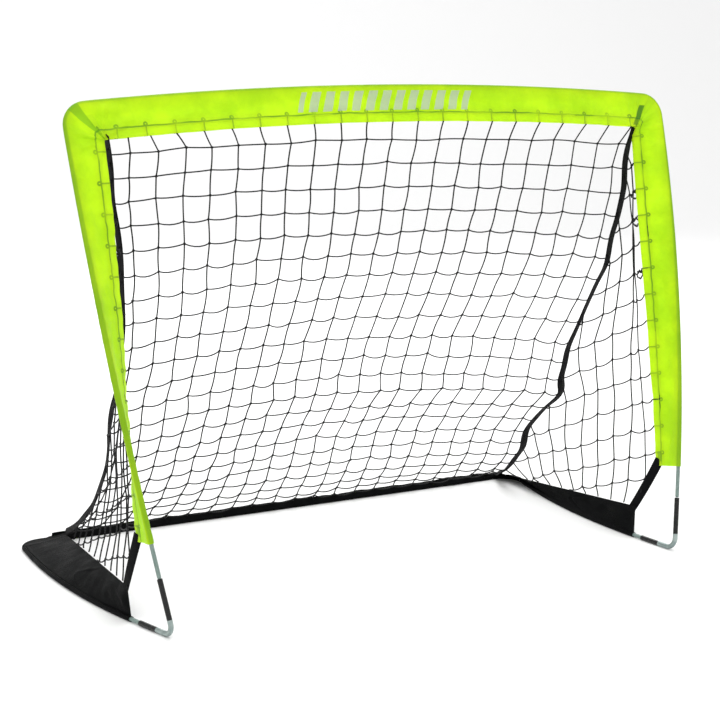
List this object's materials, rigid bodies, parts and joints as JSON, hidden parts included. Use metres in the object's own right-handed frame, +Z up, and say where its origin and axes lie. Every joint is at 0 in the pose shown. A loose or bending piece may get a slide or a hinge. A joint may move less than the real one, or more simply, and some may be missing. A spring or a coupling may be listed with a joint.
{
  "type": "soccer goal frame",
  "caption": "Portable children's soccer goal: plug-in pole hoop in a lime fabric sleeve, ground rails, black skirts and a knotted net; the hoop folds down.",
  "frame": {"origin": "on the ground, in the middle of the goal's length and depth", "axes": "+X along the crossbar to the right seen from the front, +Y from the mouth to the back net, +Z up"},
  "size_m": [1.1776, 0.6205, 0.8535],
  "materials": {
    "lime_sleeve": "translucent lime-green coated polyester",
    "black_fabric": "black woven nylon",
    "net_twine": "knotted black polyethylene twine",
    "black_webbing": "woven polypropylene webbing",
    "shock_cord": "braided elastic cord",
    "fibreglass_rod": "grey pultruded fibreglass",
    "steel_tube": "grey zinc-plated steel",
    "inner_ferrule": "plated steel",
    "black_ferrule": "black plastic sleeve"
  },
  "bodies": {
    "base": {"front_elbow_left": "steel_tube", "front_elbow_right": "steel_tube", "post_ferrule_left": "black_ferrule", "post_ferrule_right": "black_ferrule", "ground_ferrule_left": "black_ferrule", "ground_ferrule_right": "black_ferrule", "side_rail_left": "fibreglass_rod", "side_rail_right": "fibreglass_rod", "rear_corner_left": "steel_tube", "rear_corner_right": "steel_tube", "rear_rod_left": "fibreglass_rod", "rear_rod_right": "fibreglass_rod", "rear_ferrule": "inner_ferrule", "ground_cord_left": "shock_cord", "ground_cord_right": "shock_cord", "skirt_left": "black_fabric", "skirt_right": "black_fabric", "corner_pocket_left": "black_fabric", "corner_pocket_right": "black_fabric", "rear_hem": "black_fabric", "back_net": "net_twine", "side_net_left": "net_twine", "side_net_right": "net_twine", "edge_strap_left": "black_webbing", "edge_strap_right": "black_webbing", "front_strap_left": "black_webbing", "front_strap_right": "black_webbing"},
    "hoop": {"post_rod_left": "fibreglass_rod", "post_rod_right": "fibreglass_rod", "top_corner_left": "steel_tube", "top_corner_right": "steel_tube", "crossbar_rod_left": "fibreglass_rod", "crossbar_rod_right": "fibreglass_rod", "crossbar_ferrule": "inner_ferrule", "hoop_cord_left": "shock_cord", "hoop_cord_right": "shock_cord", "crossbar_sleeve": "lime_sleeve", "post_sleeve_left": "lime_sleeve", "post_sleeve_right": "lime_sleeve"}
  },
  "joints": [
    {"name": "hoop_fold", "type": "hinge", "parent": "base", "child": "hoop", "pos_m": [0, -0.2921, 0.1], "axis": [-1, 0, 0], "range_deg": [0, 70], "deforming": ["back_net", "side_net_left", "side_net_right", "edge_strap_left", "edge_strap_right", "front_strap_left", "front_strap_right"]}
  ]
}
